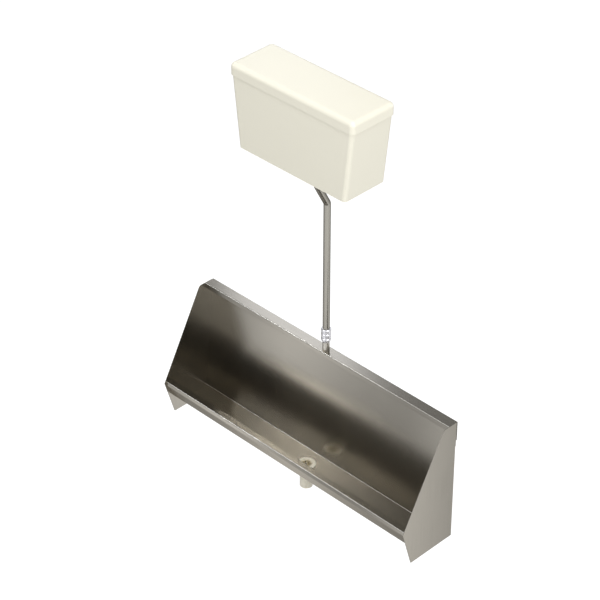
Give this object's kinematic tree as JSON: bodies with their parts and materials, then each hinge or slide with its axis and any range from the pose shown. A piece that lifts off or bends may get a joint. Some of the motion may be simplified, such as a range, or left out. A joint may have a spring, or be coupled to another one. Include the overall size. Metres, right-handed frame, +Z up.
{
  "type": "wall-hung trough urinal with high-level cistern",
  "caption": "Folded sheet-steel urinal trough with end panels, hung on a wall rail, fed by a cranked flush pipe from a high-level plastic cistern.",
  "frame": {"origin": "on the wall plane, at the centre of the hanger rail's back face, on its line of screw holes", "axes": "+Y into the wall and -Y to the room, +Z up, +X to the right for someone who faces the wall"},
  "size_m": [1.2, 0.2587, 1.6672],
  "materials": {
    "satin_steel": "satin brushed stainless sheet",
    "cistern_plastic": "moulded warm white, soft gloss",
    "waste_plastic": "moulded cream, soft gloss",
    "bright_metal": "bright plated",
    "white_plastic": "plain moulded",
    "black_rubber": "matt moulded rubber",
    "brass": "turned, dull"
  },
  "bodies": {
    "fixed": {"left_end_panel": "satin_steel", "right_end_panel": "satin_steel", "trough_pan": "satin_steel", "top_shelf": "satin_steel", "wall_rail": "satin_steel", "sparge_pipe": "satin_steel", "sparge_straps": "satin_steel", "inlet_spigot": "satin_steel", "flush_pipe": "satin_steel", "waste_screw": "satin_steel", "cistern_body": "cistern_plastic", "waste_body": "waste_plastic", "waste_grid": "waste_plastic", "waste_backnut": "waste_plastic", "coupling_lower_nut": "bright_metal", "coupling_body": "bright_metal", "coupling_upper_nut": "bright_metal", "wall_spacers": "white_plastic", "siphon_standpipe": "white_plastic", "siphon_bell": "white_plastic", "siphon_starter_tube": "white_plastic", "siphon_backnut": "white_plastic", "flush_pipe_nut": "white_plastic", "sparge_end_caps": "black_rubber", "coupling_seals": "black_rubber", "waste_top_seal": "black_rubber", "waste_lower_washer": "black_rubber", "siphon_seal": "black_rubber", "siphon_washer": "black_rubber", "flush_pipe_seal": "black_rubber", "petcock_washers": "black_rubber", "petcock_body": "brass", "petcock_backnut": "brass"},
    "lid": {"cistern_lid": "cistern_plastic"},
    "petcock_plug": {"petcock_plug": "brass", "petcock_plug_nut": "brass"}
  },
  "joints": [
    {"name": "lid_lift", "type": "slide", "parent": "fixed", "child": "lid", "axis": [0, 0, 1], "range_m": [0, 0.08]},
    {"name": "petcock_turn", "type": "hinge", "parent": "fixed", "child": "petcock_plug", "pos_m": [-0.24049, -0.1004, 1.14018], "axis": [0, 0, 1], "range_deg": [0, 90]}
  ]
}
